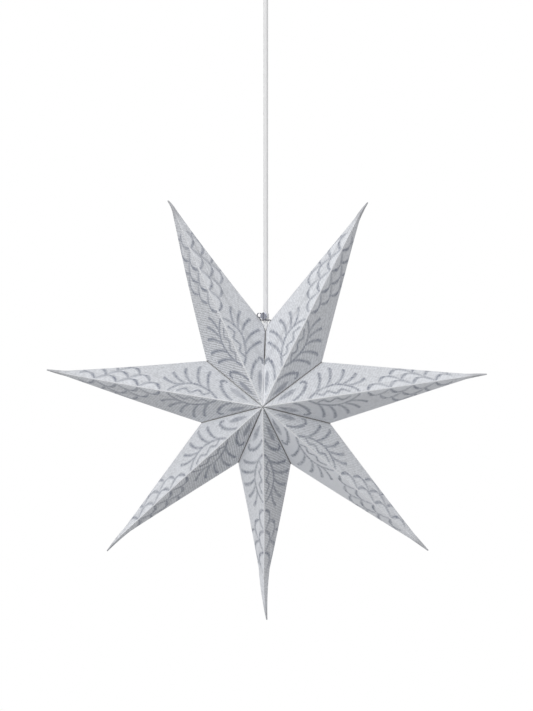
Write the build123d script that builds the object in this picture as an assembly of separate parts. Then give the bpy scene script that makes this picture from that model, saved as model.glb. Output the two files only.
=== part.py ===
from build123d import *
import os
from math import cos, hypot, radians, sin, sqrt

# A folded paper star with seven points that hangs on its lamp cord. The hook eye is at the origin,
# +Z is up, the star lies in the XZ plane and its front faces -Y. All sizes are in millimetres.

# Paper star
star_drop = 606.0           # hook eye down to the middle of the star
tip_radius = 303.0          # middle to each tip
tip_angles = (26.5, 82.9, 133.0)       # from straight up, on the right; the last point hangs straight down
notch_angles = (55.2, 109.2, 157.5)    # valleys between the points, on the right
notch_radius = 94.0         # middle to a valley
top_notch_rise = 6.0        # the closing valley is drawn up this much by the hanger
half_depth = 90.0           # middle to the front or back vertex
needle_length = 40.0        # slim end of a point
needle_overrun = 11.0       # tip past the place where the straight edges would meet
needle_cut = 3.0            # sharp end that is missing from the needle
paper = 0.4                 # thickness of the sheet
flap = 9.0                  # width of the glue flaps inside the seams
slit_height = 45.0          # open stretch of the closing seam, from its notch downwards
slit_gap = 2.0              # between the two lips at the notch

# Eyelets in the lips
eyelet_run = 20.0           # notch to eyelet, along the seam
eyelet_bore = 3.4
eyelet_wall = 0.4
eyelet_rim = 6.8
eyelet_sheet = 0.3

# Cord
cord_diameter = 6.4
cord_slide_gap = 0.25       # between the cord and what slides along it
cord_snug_gap = 0.05        # between the cord and what holds it
core_diameter = 1.8         # one insulated core
core_spacing = 3.2

# Wire hanger
wire = 1.4
wire_gap = 0.5              # room around the wire where it passes the paper
swivel_gap = 0.2            # between the hanger ring and the sleeve
ring_rise = 10.5            # hanger ring above the closing notch
leg_offset = 1.4            # leg outside the ring
leg_straight = 4.0          # leg beside the flange of the sleeve
neck_width = 9.0            # between the two legs at the notch
neck_rise = 1.0
hook_reach = 3.2            # hook past the middle of the slit
hook_height = 3.0
hook_seat = 0.2             # between the hook and the top of the eyelet
bend_radius = 1.5
corner_radius = 0.9
finger_ring = 5.8           # finger ring, across the middle of its wire
finger_shift = 1.95         # its middle beside the leg
finger_rise = 6.4           # its middle above the hanger ring
ring_opening = 20.0         # degrees that each bent ring is short of a full turn

# Clasp
sleeve_wall = 1.0
sleeve_height = 9.6         # above the flange
flange_width = 1.1          # flange past the sleeve
flange_height = 1.2
screw_diameter = 3.0
screw_gap = 0.05
screw_rise = 5.8            # clasp screw above the hanger ring
disc_diameter = 9.6
disc_height = 1.6
disc_gap = 0.45             # between the disc and the hanger ring
disc_slot = 1.0
disc_fillet = 0.5
clasp_turn = 20.0           # degrees that the clasp screw faces left of the front

# Lamp holder
holder_drop = 30.0          # closing notch down to the top of the gland
gland_diameter = 12.0
gland_height = 8.0
spigot_diameter = 9.8
spigot_length = 6.0
thread_gap = 0.1
cap_top_diameter = 16.0
cap_shoulder = 12.0         # height of the sloping part of the cap
cap_height = 20.0
holder_diameter = 29.0
holder_wall = 1.6
holder_length = 34.0        # sleeve below the cap
lip_length = 5.0            # sleeve inside the cap
lip_wall = 0.85
seat_gap = 0.05
core_height = 10.0
core_ledge = 1.0
shell_bore = 14.1
shell_wall = 0.4
shell_length = 18.0
shell_flange = 18.0
contact_width = 4.0
contact_half = 3.5
contact_sheet = 0.5
contact_drop = 2.9
terminal_diameter = 4.4
terminal_height = 1.6
terminal_shank = 2.6
terminal_depth = 5.0
terminal_spacing = 14.0
core_hole_depth = 4.0

# Bulb
contact_gap = 0.2
tip_diameter = 6.0
tip_height = 1.5
bulb_cap_diameter = 13.8
bulb_cap_length = 17.0
collar_top_diameter = 14.8
collar_bottom_diameter = 20.6
collar_length = 13.4
globe_diameter = 45.0
globe_wall = 0.8

# Ceiling end
ceiling_rise = 32.0         # hook eye up to the ceiling
cup_diameter = 84.0
cup_wall = 1.8
cup_straight = 12.0         # upright part of the cup's side
cup_height = 68.0
cup_floor_diameter = 26.0
cup_gland_diameter = 12.8
nut_diameter = 20.0
nut_height = 3.0
collar_diameter = 19.0
collar_height = 2.0
grip_diameter = 14.0
grip_height = 16.0
grub_diameter = 4.0
grub_head = 3.0
eye_bore = 10.0
eye_diameter = 19.0
eye_thickness = 6.0
block_width = 17.0
block_top = -9.0
block_bottom = -27.0
block_depth = 6.5           # behind the cord's middle
clamp_split = 2.0           # joint between block and clamp, in front of the cord's middle
clamp_gap = 0.2
clamp_depth = 6.5           # clamp's front, before the cord's middle
clamp_top = -16.0
clamp_screw_spacing = 12.0
clamp_screw_z = -22.0
clamp_screw_diameter = 2.5
clamp_head_diameter = 4.4
clamp_head_height = 1.5
clamp_screw_reach = 4.0
cord_end_z = -18.0
lead_z = -13.5              # height of the cores where they enter the terminal block
lead_bend = 2.0
window_height = 4.0
window_width = 9.0
terminal_block_length = 12.0
terminal_block_width = 14.0
terminal_block_top = -8.5
terminal_block_bottom = -18.5
pole_spacing = 6.0
pole_bore = 2.0
pole_screw_diameter = 2.4
pole_screw_length = 3.0
pole_screw_sink = 0.5
pole_screw_inset = 3.0

# Worked out from the sizes above
notch_z = notch_radius + top_notch_rise - star_drop
cord_radius = cord_diameter / 2
wire_radius = wire / 2
sleeve_bore = cord_radius + cord_slide_gap
sleeve_radius = sleeve_bore + sleeve_wall
ring_radius = sleeve_radius + swivel_gap + wire_radius
ring_z = notch_z + ring_rise
leg_x = ring_radius + leg_offset
screw_z = ring_z + screw_rise
gland_top = notch_z - holder_drop
cap_top = gland_top - gland_height
cap_bottom = cap_top - cap_height
core_floor = cap_bottom + lip_length - core_height
cord_bottom = cap_top - spigot_length
cup_rim = ceiling_rise
cup_bottom = cup_rim - cup_height
middle = Vector(0, 0, -star_drop)
front_vertex = Vector(0, -half_depth, -star_drop)
top_notch = Vector(0, 0, notch_z)


def turned(*profile):
    # Solid of revolution about the cord's line, from (radius, height) corners.
    outline = Polyline(*profile, close=True)
    return revolve(Plane.XZ * make_face(outline), Axis.Z)


def rod(diameter, start, end):
    # Straight round bar between two points.
    start, end = Vector(*start), Vector(*end)
    return extrude(Plane(start, z_dir=end - start) * Circle(diameter / 2), (end - start).length)


def tube_along(path, diameter):
    # Round bar along a path of straight runs and tangent arcs.
    return sweep(Plane(path @ 0, z_dir=path % 0) * Circle(diameter / 2), path=path)


def both_sides(solid):
    # The solid and its copy, half a turn about the cord's line.
    return [solid, Rot(0, 0, 180) * solid]


def on_star(radius, angle):
    # Point in the star's own plane, at an angle from straight up.
    return middle + Vector(radius * sin(radians(angle)), 0, radius * cos(radians(angle)))


def facing_away(a, b, c, heart):
    # Plane through three points that faces away from the heart of a solid.
    normal = (b - a).cross(c - a).normalized()
    if normal.dot(heart - a) > 0:
        normal = -normal
    return Plane(a, x_dir=b - a, z_dir=normal)


def within(planes):
    # Block that is left inside all the planes.
    block = Pos(middle) * Box(4 * tip_radius, 4 * tip_radius, 4 * tip_radius)
    for plane in planes:
        block = split(block, bisect_by=plane, keep=Keep.BOTTOM)
    return block


def inset(planes):
    # The same planes, one sheet further in.
    return [plane.offset(-paper) for plane in planes]


def lip_plane(side):
    # Open lip of the closing seam: it leans away from the middle, above the end of the slit.
    slit_end = top_notch - Vector(0, 0, slit_height)
    lip_top = top_notch + Vector(side * slit_gap / 2, 0, 0)
    heart = on_star(notch_radius, side * tip_angles[0])
    return facing_away(slit_end, slit_end + Vector(0, half_depth, 0), lip_top, heart)


def seam_window(radius, angle):
    # Opening inside the flaps of one seam, from one point of the star into the next.
    seam = hypot(radius, half_depth)
    tall = half_depth - flap * seam / radius
    deep = radius - flap * seam / half_depth
    outline = Polyline((-flap, -tall), (0, -tall), (deep, 0), (0, tall), (-flap, tall), close=True)
    radial = on_star(1, angle) - middle
    plane = Plane(middle, x_dir=radial, z_dir=radial.cross(Vector(0, 1, 0)))
    return extrude(plane * make_face(outline), slit_gap / 2 + 2 * paper, both=True)


def star_point(tip_angle, notches, lips=()):
    # One folded sheet: four faces, a slim needle at the tip and flaps along both seams.
    along = on_star(1, tip_angle) - middle
    meeting = tip_radius - needle_overrun
    shoulder_at = tip_radius - needle_length
    apex = on_star(meeting, tip_angle)
    ridges = [front_vertex, front_vertex + Vector(0, 2 * half_depth, 0)]
    sides = [on_star(radius, angle) for radius, angle in notches]
    heart = on_star(notch_radius, tip_angle)
    faces = [facing_away(ridge, side, apex, heart) for ridge in ridges for side in sides]
    seams = [facing_away(*ridges, side, heart) for side in sides] + list(lips)

    def at_shoulder(corner):
        # Where the straight fold from a corner to the apex reaches the needle.
        start = (corner - middle).dot(along)
        return corner + (apex - corner) * ((shoulder_at - start) / (meeting - start))

    sharp = on_star(tip_radius + needle_cut, tip_angle)
    needle_heart = on_star(shoulder_at + 1, tip_angle)
    needle = [facing_away(at_shoulder(ridge), at_shoulder(side), sharp, needle_heart)
              for ridge in ridges for side in sides]
    shoulder = Plane(on_star(shoulder_at, tip_angle), z_dir=along)
    shoulder_back = Plane(on_star(shoulder_at, tip_angle), z_dir=-along)
    tip_end = Plane(on_star(tip_radius, tip_angle), z_dir=along)

    sheet = within(faces + seams + [shoulder]) + within(needle + [shoulder_back, tip_end])
    hollow = within(inset(faces + seams) + [shoulder]) + within(inset(needle) + [shoulder_back])
    windows = [seam_window(radius, angle) for radius, angle in notches]
    return sheet - hollow - windows


def eyelet_places():
    # Middle of the eyelet in each half of the lips, front and back.
    down = (front_vertex - top_notch).normalized()
    inward = Vector(1, 0, 0).cross(down)
    place = top_notch + down * eyelet_run + inward * (flap / 2)
    return [place, Vector(0, -place.Y, place.Z)]


def eyelet_planes():
    # Local frames of the four eyelets, at the middle of the sheet of each lip.
    planes = []
    for side in (-1, 1):
        lip = lip_plane(side)
        for place in eyelet_places():
            lean = slit_gap / 2 * (place.Z - notch_z + slit_height) / slit_height
            centre = Vector(side * lean, place.Y, place.Z) - lip.z_dir * (paper / 2)
            planes.append(Plane(centre, z_dir=lip.z_dir))
    return planes


def eyelet():
    bore = eyelet_bore / 2
    barrel = bore + eyelet_wall
    rim = eyelet_rim / 2
    near = paper / 2
    far = near + eyelet_sheet
    return turned((bore, -far), (rim, -far), (rim, -near), (barrel, -near),
                  (barrel, near), (rim, near), (rim, far), (bore, far))


def hanger_path():
    # Left leg of the hanger: ring, past the flange, through the notch, forward and across the slit.
    hook = eyelet_places()[0]
    hook_z = hook.Z + eyelet_bore / 2 - wire_radius - hook_seat
    neck = neck_width / 2
    return FilletPolyline(
        (-ring_radius, 0, ring_z),
        (-leg_x, 0, ring_z),
        (-leg_x, 0, ring_z - leg_straight),
        (-neck, 0, notch_z + neck_rise),
        (-neck, hook.Y, hook_z),
        (hook_reach, hook.Y, hook_z),
        (hook_reach, hook.Y, hook_z + hook_height),
        radius=[corner_radius, bend_radius, bend_radius, bend_radius, bend_radius])


def bent_ring(radius):
    # Ring of wire that is open at the back.
    return Rot(0, 0, 90 + ring_opening / 2) * Torus(radius, wire_radius, major_angle=360 - ring_opening)


def star_hanger():
    ring = Pos(0, 0, ring_z) * bent_ring(ring_radius)
    finger_x = -leg_x - finger_shift
    finger_z = ring_z + finger_rise
    finger = Pos(finger_x, 0, finger_z) * Rot(90, 0, 0) * bent_ring(finger_ring / 2)
    stalk = rod(wire, (-leg_x, 0, ring_z), (finger_x, 0, finger_z - finger_ring / 2))
    return ring + both_sides(tube_along(hanger_path(), wire)) + finger + stalk


def star_points():
    # Points from the upper right one round to the upper left one.
    right = [(notch_radius + top_notch_rise, 0.0)] + [(notch_radius, angle) for angle in notch_angles]
    notches = right + [(radius, -angle) for radius, angle in reversed(right)]
    tips = list(tip_angles) + [180.0] + [-angle for angle in reversed(tip_angles)]
    cord_room = rod(cord_diameter + 2 * wire_gap, (0, 0, notch_z - holder_drop), (0, 0, notch_z + ring_rise))
    wire_room = both_sides(tube_along(hanger_path(), wire + 2 * wire_gap))
    eyelet_holes = [plane * Cylinder(eyelet_bore / 2 + eyelet_wall + screw_gap, slit_gap)
                    for plane in eyelet_planes()]
    points = []
    for index, tip_angle in enumerate(tips):
        pair = [notches[index], notches[index + 1]]
        if abs(tip_angle) == tip_angles[0]:
            side = 1 if tip_angle > 0 else -1
            sheet = star_point(tip_angle, pair, [lip_plane(side)])
            points.append(sheet - cord_room - wire_room - eyelet_holes)
        else:
            points.append(star_point(tip_angle, pair))
    return points


def clasp_sleeve():
    flange_top = ring_z - wire_radius - swivel_gap
    rim = sleeve_radius + flange_width
    foot = flange_top - flange_height
    body = turned((sleeve_bore, foot), (rim, foot), (rim, flange_top), (sleeve_radius, flange_top),
                  (sleeve_radius, flange_top + sleeve_height), (sleeve_bore, flange_top + sleeve_height))
    hole = rod(screw_diameter + 2 * screw_gap, (0, 0, screw_z), (0, -2 * sleeve_radius, screw_z))
    return body - Rot(0, 0, -clasp_turn) * hole


def clasp_screw():
    back = ring_radius + wire_radius + disc_gap
    shank = rod(screw_diameter, (0, -sleeve_bore, screw_z), (0, -back, screw_z))
    disc = rod(disc_diameter, (0, -back, screw_z), (0, -back - disc_height, screw_z))
    rim = disc.edges().filter_by(GeomType.CIRCLE).sort_by(Axis.Y)[0]
    disc = fillet(rim, disc_fillet)
    slot = Pos(0, -back - disc_height, screw_z) * Box(disc_slot, disc_height, disc_diameter)
    return Rot(0, 0, -clasp_turn) * (disc + shank - slot)


def cord():
    return rod(cord_diameter, (0, 0, cord_bottom), (0, 0, cord_end_z))


def holder_gland():
    bore = cord_radius + cord_snug_gap
    outer = gland_diameter / 2
    spigot = spigot_diameter / 2
    return turned((bore, gland_top), (outer, gland_top), (outer, cap_top), (spigot, cap_top),
                  (spigot, cap_top - spigot_length), (bore, cap_top - spigot_length))


def holder_cap():
    outer = holder_diameter / 2
    inner = outer - holder_wall
    top = cap_top_diameter / 2
    hole = spigot_diameter / 2 + thread_gap
    shoulder = cap_top - cap_shoulder
    return turned((hole, cap_top), (top, cap_top), (outer, shoulder), (outer, cap_bottom),
                  (inner, cap_bottom), (inner, shoulder), (top, cap_top - holder_wall),
                  (hole, cap_top - holder_wall))


def lip_radii():
    # Outer and inner radius of the sleeve's lip inside the cap.
    outer = holder_diameter / 2 - holder_wall - seat_gap
    return outer, outer - lip_wall


def holder_sleeve():
    outer = holder_diameter / 2
    lip, recess = lip_radii()
    bore = recess - core_ledge
    top = cap_bottom + lip_length
    bottom = cap_bottom - holder_length
    return turned((recess, top), (lip, top), (lip, cap_bottom), (outer, cap_bottom), (outer, bottom),
                  (bore, bottom), (bore, core_floor), (recess, core_floor))


def holder_core():
    core_top = core_floor + core_height
    puck = turned((0, core_floor), (lip_radii()[1] - seat_gap, core_floor),
                  (lip_radii()[1] - seat_gap, core_top), (0, core_top))
    for side in (-1, 1):
        screw_y = side * terminal_spacing / 2
        core_x = side * core_spacing / 2
        hole = terminal_shank + 2 * screw_gap
        puck -= rod(hole, (0, screw_y, core_top), (0, screw_y, core_top - terminal_depth))
        puck -= rod(core_diameter + 2 * screw_gap, (core_x, 0, core_top), (core_x, 0, core_top - core_hole_depth))
    return puck


def terminal_screws():
    core_top = core_floor + core_height
    screws = []
    for side in (-1, 1):
        screw_y = side * terminal_spacing / 2
        head = rod(terminal_diameter, (0, screw_y, core_top), (0, screw_y, core_top + terminal_height))
        shank = rod(terminal_shank, (0, screw_y, core_top), (0, screw_y, core_top - terminal_depth))
        screws.append(head + shank)
    return screws


def holder_wires():
    end = core_floor + core_height - core_hole_depth
    return [rod(core_diameter, (side * core_spacing / 2, 0, cord_bottom), (side * core_spacing / 2, 0, end))
            for side in (-1, 1)]


def screw_shell():
    bore = shell_bore / 2
    outer = bore + shell_wall
    rim = shell_flange / 2
    mouth = core_floor - shell_length
    return turned((bore - core_ledge, core_floor), (rim, core_floor), (rim, core_floor - shell_wall),
                  (outer, core_floor - shell_wall), (outer, mouth), (bore, mouth),
                  (bore, core_floor - shell_wall), (bore - core_ledge, core_floor - shell_wall))


def centre_contact():
    # Leaf spring, riveted under the core, whose pad meets the bulb.
    half, sheet, drop = contact_half, contact_sheet, contact_drop
    leaf = Polyline((-half, 0), (half, 0), (half, -sheet), (0, -sheet), (-half + 2 * sheet, -sheet),
                    (half / 2, sheet - drop), (half, sheet - drop), (half, -drop), (half / 2, -drop),
                    (-half, -sheet), close=True)
    plane = Plane((0, 0, core_floor), x_dir=(1, 0, 0), z_dir=(0, -1, 0))
    return extrude(plane * make_face(leaf), contact_width / 2, both=True)


bulb_top = core_floor - contact_drop - contact_gap
bulb_cap_top = bulb_top - tip_height
collar_top = bulb_cap_top - bulb_cap_length
collar_bottom = collar_top - collar_length


def bulb_contact():
    return rod(tip_diameter, (0, 0, bulb_cap_top), (0, 0, bulb_top))


def bulb_cap():
    return rod(bulb_cap_diameter, (0, 0, collar_top), (0, 0, bulb_cap_top))


def bulb_collar():
    return turned((0, collar_top), (collar_top_diameter / 2, collar_top),
                  (collar_bottom_diameter / 2, collar_bottom), (0, collar_bottom))


def bulb_globe():
    # Hollow ball, open where it sits on the collar.
    outer = globe_diameter / 2
    neck = collar_bottom_diameter / 2
    centre = Pos(0, 0, collar_bottom - sqrt(outer ** 2 - neck ** 2))
    ball = centre * (Sphere(outer) - Sphere(outer - globe_wall))
    return split(ball, bisect_by=Plane((0, 0, collar_bottom)), keep=Keep.BOTTOM)


def ceiling_cup():
    # The side runs straight down from the rim, then in on one arc to the floor.
    rim, floor = cup_diameter / 2, cup_floor_diameter / 2
    bend = cup_rim - cup_straight
    narrowing, fall = rim - floor, bend - cup_bottom
    arc = (narrowing ** 2 + fall ** 2) / (2 * narrowing)
    centre_x = rim - arc
    hole = cup_gland_diameter / 2 + thread_gap
    inside_floor = cup_bottom + cup_wall
    inner = arc - cup_wall
    inner_floor = centre_x + sqrt(inner ** 2 - (bend - inside_floor) ** 2)
    outer_side = RadiusArc((rim, bend), (floor, cup_bottom), arc)
    inner_side = RadiusArc((inner_floor, inside_floor), (rim - cup_wall, bend), -inner)
    outline = [
        Line((rim, cup_rim), (rim, bend)), outer_side,
        Line((floor, cup_bottom), (hole, cup_bottom)), Line((hole, cup_bottom), (hole, inside_floor)),
        Line((hole, inside_floor), (inner_floor, inside_floor)), inner_side,
        Line((rim - cup_wall, bend), (rim - cup_wall, cup_rim)), Line((rim - cup_wall, cup_rim), (rim, cup_rim)),
    ]
    return revolve(Plane.XZ * make_face(outline), Axis.Z)


grip_bottom = cup_bottom - collar_height - grip_height
grub_z = grip_bottom + grip_height / 2


def cup_gland():
    # Threaded bush under the cup, with the grip that the grub screw tightens on the cord.
    bore = cord_radius + cord_slide_gap
    spigot = cup_gland_diameter / 2
    collar = collar_diameter / 2
    grip = grip_diameter / 2
    top = cup_bottom + cup_wall + nut_height
    foot = cup_bottom - collar_height
    body = turned((bore, top), (spigot, top), (spigot, cup_bottom), (collar, cup_bottom), (collar, foot),
                  (grip, foot), (grip, grip_bottom), (bore, grip_bottom))
    return body - rod(grub_diameter + 2 * screw_gap, (0, 0, grub_z), (0, -grip_diameter, grub_z))


def gland_nut():
    foot = cup_bottom + cup_wall
    nut = extrude(Plane((0, 0, foot)) * RegularPolygon(nut_diameter / 2, 6), nut_height)
    return nut - rod(cup_gland_diameter + 2 * thread_gap, (0, 0, foot), (0, 0, foot + nut_height))


def gland_screw():
    start = -cord_radius - cord_slide_gap
    end = -grip_diameter / 2 - grub_head
    screw = rod(grub_diameter, (0, start, grub_z), (0, end, grub_z))
    slot = Pos(0, end, grub_z) * Box(grub_diameter, grub_head, disc_slot)
    return screw - slot


def screw_places():
    return [side * clamp_screw_spacing / 2 for side in (-1, 1)]


def suspension_eye():
    # Eye for the ceiling hook above the block that holds the cord's end.
    half = block_width / 2
    eye = rod(eye_diameter, (0, -eye_thickness / 2, 0), (0, eye_thickness / 2, 0))
    depth = block_depth + clamp_split
    height = block_top - block_bottom
    block = Pos(0, (block_depth - clamp_split) / 2, block_bottom + height / 2) * Box(block_width, depth, height)
    front = Pos(0, -(clamp_depth + clamp_split) / 2, (block_top + clamp_top) / 2)
    block += front * Box(block_width, clamp_depth - clamp_split, block_top - clamp_top)
    neck = Pos(0, 0, block_top / 2) * Box(eye_thickness, eye_thickness, -block_top)
    body = eye + block + neck
    body -= rod(eye_bore, (0, -eye_thickness, 0), (0, eye_thickness, 0))
    body -= rod(cord_diameter + 2 * cord_snug_gap, (0, 0, block_bottom), (0, 0, lead_z + window_height / 2))
    body -= Pos(half / 2, 0, lead_z) * Box(half, window_width, window_height)
    for x in screw_places():
        body -= rod(clamp_screw_diameter + 2 * screw_gap, (x, -clamp_depth, clamp_screw_z),
                    (x, clamp_screw_reach, clamp_screw_z))
    return body


def cord_clamp():
    depth = clamp_depth - clamp_split - clamp_gap
    height = clamp_top - block_bottom - clamp_gap
    plate = Pos(0, depth / 2 - clamp_depth, block_bottom + height / 2) * Box(block_width, depth, height)
    plate -= rod(cord_diameter + 2 * cord_snug_gap, (0, 0, block_bottom), (0, 0, clamp_top))
    for x in screw_places():
        plate -= rod(clamp_screw_diameter + 2 * screw_gap, (x, -clamp_depth, clamp_screw_z), (x, 0, clamp_screw_z))
    return plate


def clamp_screws():
    head = -clamp_depth - clamp_head_height
    return [rod(clamp_head_diameter, (x, head, clamp_screw_z), (x, -clamp_depth, clamp_screw_z))
            + rod(clamp_screw_diameter, (x, head, clamp_screw_z), (x, clamp_screw_reach, clamp_screw_z))
            for x in screw_places()]


def pole_places():
    # Screw places of the terminal block: two poles, a screw at each end.
    near = block_width / 2 + pole_screw_inset
    far = block_width / 2 + terminal_block_length - pole_screw_inset
    return [(x, side * pole_spacing / 2) for x in (near, far) for side in (-1, 1)]


def terminal_block():
    start, end = block_width / 2, block_width / 2 + terminal_block_length
    height = terminal_block_top - terminal_block_bottom
    block = Pos((start + end) / 2, 0, terminal_block_bottom + height / 2)
    body = block * Box(terminal_block_length, terminal_block_width, height)
    for side in (-1, 1):
        y = side * pole_spacing / 2
        body -= rod(pole_bore, (start, y, lead_z), (end, y, lead_z))
    for x, y in pole_places():
        hole = pole_screw_diameter + 2 * screw_gap
        body -= rod(hole, (x, y, lead_z), (x, y, terminal_block_top))
    return body


def pole_screws():
    top = terminal_block_top - pole_screw_sink
    return [rod(pole_screw_diameter, (x, y, top - pole_screw_length), (x, y, top)) for x, y in pole_places()]


def terminal_wires():
    # Two cores that bend from the cord's end into the terminal block.
    wires = []
    for side in (-1, 1):
        y = side * core_spacing / 2
        pole_y = side * pole_spacing / 2
        entry = block_width / 2
        path = FilletPolyline((0, y, cord_end_z), (0, y, lead_z), (entry - lead_bend, pole_y, lead_z),
                              (entry + pole_screw_inset / 2, pole_y, lead_z), radius=lead_bend)
        wires.append(tube_along(path, core_diameter))
    return wires


def main():
    nodes = {f"star_point_{index + 1}": point for index, point in enumerate(star_points())}
    nodes.update(
        eyelets=[plane * eyelet() for plane in eyelet_planes()], star_hanger=star_hanger(),
        clasp_sleeve=clasp_sleeve(), clasp_screw=clasp_screw(), cord=cord(),
        holder_gland=holder_gland(), holder_cap=holder_cap(), holder_sleeve=holder_sleeve(),
        holder_core=holder_core(), terminal_screws=terminal_screws(), holder_wires=holder_wires(),
        screw_shell=screw_shell(), centre_contact=centre_contact(),
        bulb_contact=bulb_contact(), bulb_cap=bulb_cap(), bulb_collar=bulb_collar(), bulb_globe=bulb_globe(),
        ceiling_cup=ceiling_cup(), cup_gland=cup_gland(), gland_nut=gland_nut(), gland_screw=gland_screw(),
        suspension_eye=suspension_eye(), cord_clamp=cord_clamp(), clamp_screws=clamp_screws(),
        terminal_block=terminal_block(), pole_screws=pole_screws(), terminal_wires=terminal_wires())
    os.makedirs("parts", exist_ok=True)
    for name, shape in nodes.items():
        solids = Compound(children=[part.solid() for part in shape]) if isinstance(shape, list) else shape
        export_step(solids, f"parts/{name}.step")
    length = cord_end_z - cord_bottom
    print(f"cord: one straight run of {length:.1f} mm, volume {cord().volume:.1f} mm3,"
          f" section times length {Circle(cord_radius).area * length:.1f} mm3")


if __name__ == "__main__":
    main()
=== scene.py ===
import bpy
import math
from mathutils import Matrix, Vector


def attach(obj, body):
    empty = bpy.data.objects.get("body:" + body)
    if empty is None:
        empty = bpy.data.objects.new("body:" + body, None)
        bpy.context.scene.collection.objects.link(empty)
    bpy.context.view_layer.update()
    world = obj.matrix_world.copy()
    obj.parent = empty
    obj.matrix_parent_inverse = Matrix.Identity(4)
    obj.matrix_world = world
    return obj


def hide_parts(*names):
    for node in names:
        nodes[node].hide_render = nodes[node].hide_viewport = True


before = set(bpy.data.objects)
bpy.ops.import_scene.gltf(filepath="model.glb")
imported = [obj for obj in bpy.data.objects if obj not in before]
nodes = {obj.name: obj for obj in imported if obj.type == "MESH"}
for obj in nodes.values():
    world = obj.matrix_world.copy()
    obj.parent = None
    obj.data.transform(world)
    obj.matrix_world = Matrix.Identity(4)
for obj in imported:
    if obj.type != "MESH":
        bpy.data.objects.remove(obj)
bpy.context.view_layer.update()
scene = bpy.context.scene
fullTurn = 2 * math.pi
print("frame loaded:", len(nodes), "solids")


class Wire:  # one socket of a node tree; maths on it adds Math nodes
    def __init__(self, tree, socket=None):
        self.tree = tree
        self.socket = socket

    def node(self, kind, settings=None, sockets=None, out=0):
        made = self.tree.nodes.new(kind)
        for name, value in (settings or {}).items():
            setattr(made, name, value)
        for key, value in (sockets or {}).items():
            for one in value if isinstance(value, list) else [value]:
                if isinstance(one, Wire):
                    self.tree.links.new(one.socket, made.inputs[key])
                else:
                    made.inputs[key].default_value = one
        return Wire(self.tree, made.outputs[out] if made.outputs else None)

    def other(self, key):
        return Wire(self.tree, self.socket.node.outputs[key])

    def sums(self, operation, *values, clamp=False):
        settings = {"operation": operation, "use_clamp": clamp}
        return self.node("ShaderNodeMath", settings, dict(enumerate(values)))

    def __add__(self, value):
        return self.sums("ADD", self, value)

    def __radd__(self, value):
        return self.sums("ADD", value, self)

    def __sub__(self, value):
        return self.sums("SUBTRACT", self, value)

    def __rsub__(self, value):
        return self.sums("SUBTRACT", value, self)

    def __mul__(self, value):
        return self.sums("MULTIPLY", self, value)

    def __rmul__(self, value):
        return self.sums("MULTIPLY", value, self)

    def __truediv__(self, value):
        return self.sums("DIVIDE", self, value)

    def __rtruediv__(self, value):
        return self.sums("DIVIDE", value, self)

    def __mod__(self, value):
        return self.sums("FLOORED_MODULO", self, value)

    def __pow__(self, value):
        return self.sums("POWER", self, value)

    def __neg__(self):
        return self.sums("MULTIPLY", self, -1.0)

    def __abs__(self):
        return self.sums("ABSOLUTE", self)

    def __gt__(self, value):
        return self.sums("GREATER_THAN", self, value)

    def least(self, value):
        return self.sums("MINIMUM", self, value)

    def most(self, value):
        return self.sums("MAXIMUM", self, value)

    def clamped(self):
        return self.sums("ADD", self, 0.0, clamp=True)

    def floor(self):
        return self.sums("FLOOR", self)

    def root(self):
        return self.sums("SQRT", self)

    def sine(self):
        return self.sums("SINE", self)

    def cosine(self):
        return self.sums("COSINE", self)

    def blend(self, low, high):  # mixes two colours by this value
        return self.node("ShaderNodeMix", {"data_type": "RGBA"}, {0: self, 6: low, 7: high}, out=2)


def newMaterial(name):
    material = bpy.data.materials.new(name)
    material.use_nodes = True
    material.node_tree.nodes.clear()
    return material, Wire(material.node_tree)


def surface(wire, height, depth, **sockets):  # principled surface with a bump, its depth in metres
    named = {key.replace("_", " "): value for key, value in sockets.items()}
    named["Normal"] = wire.node("ShaderNodeBump", sockets={
        "Height": height, "Distance": depth, "Strength": 1.0})
    shader = wire.node("ShaderNodeBsdfPrincipled", sockets=named)
    wire.node("ShaderNodeOutputMaterial", sockets={"Surface": shader})


def grain(wire, place, scale, detail=3.0, roughness=0.5):  # cloudy value from 0 to 1
    return wire.node("ShaderNodeTexNoise", sockets={
        "Vector": place, "Scale": scale, "Detail": detail, "Roughness": roughness})


def objectPlace(wire):
    return wire.node("ShaderNodeTexCoord").other("Object")


def darker(colour, share):
    return tuple(share * part for part in colour[:3]) + (1,)


# camera at the photograph's angle, for an image of 533 x 711
starMiddle = Vector((0, 0, -0.606))
cameraSetup = {"azimuth": 2.5, "elevation": 5.1, "distance": 3.0, "pixelsPerMetre": 731.5,
               "middlePixel": (265.7, 400.7), "width": 533, "height": 711, "sensor": 36.0,
               "clip": (0.05, 200.0)}


def placeCamera(setup):
    turn, lift = math.radians(setup["azimuth"]), math.radians(setup["elevation"])
    level = math.cos(lift)
    back = Vector((math.sin(turn) * level, -math.cos(turn) * level, math.sin(lift)))
    data = bpy.data.cameras.new("camera")
    camera = bpy.data.objects.new("camera", data)
    scene.collection.objects.link(camera)
    camera.location = starMiddle + back * setup["distance"]
    camera.rotation_mode = "QUATERNION"
    camera.rotation_quaternion = (-back).to_track_quat("-Z", "Y")
    focalPixels = setup["pixelsPerMetre"] * setup["distance"]
    data.sensor_width = setup["sensor"]
    data.lens = focalPixels / setup["height"] * setup["sensor"]
    data.shift_x = (setup["width"] / 2 - setup["middlePixel"][0]) / setup["height"]
    data.shift_y = (setup["middlePixel"][1] - setup["height"] / 2) / setup["height"]
    data.clip_start, data.clip_end = setup["clip"]
    scene.camera = camera


placeCamera(cameraSetup)
print("camera placed")


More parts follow.
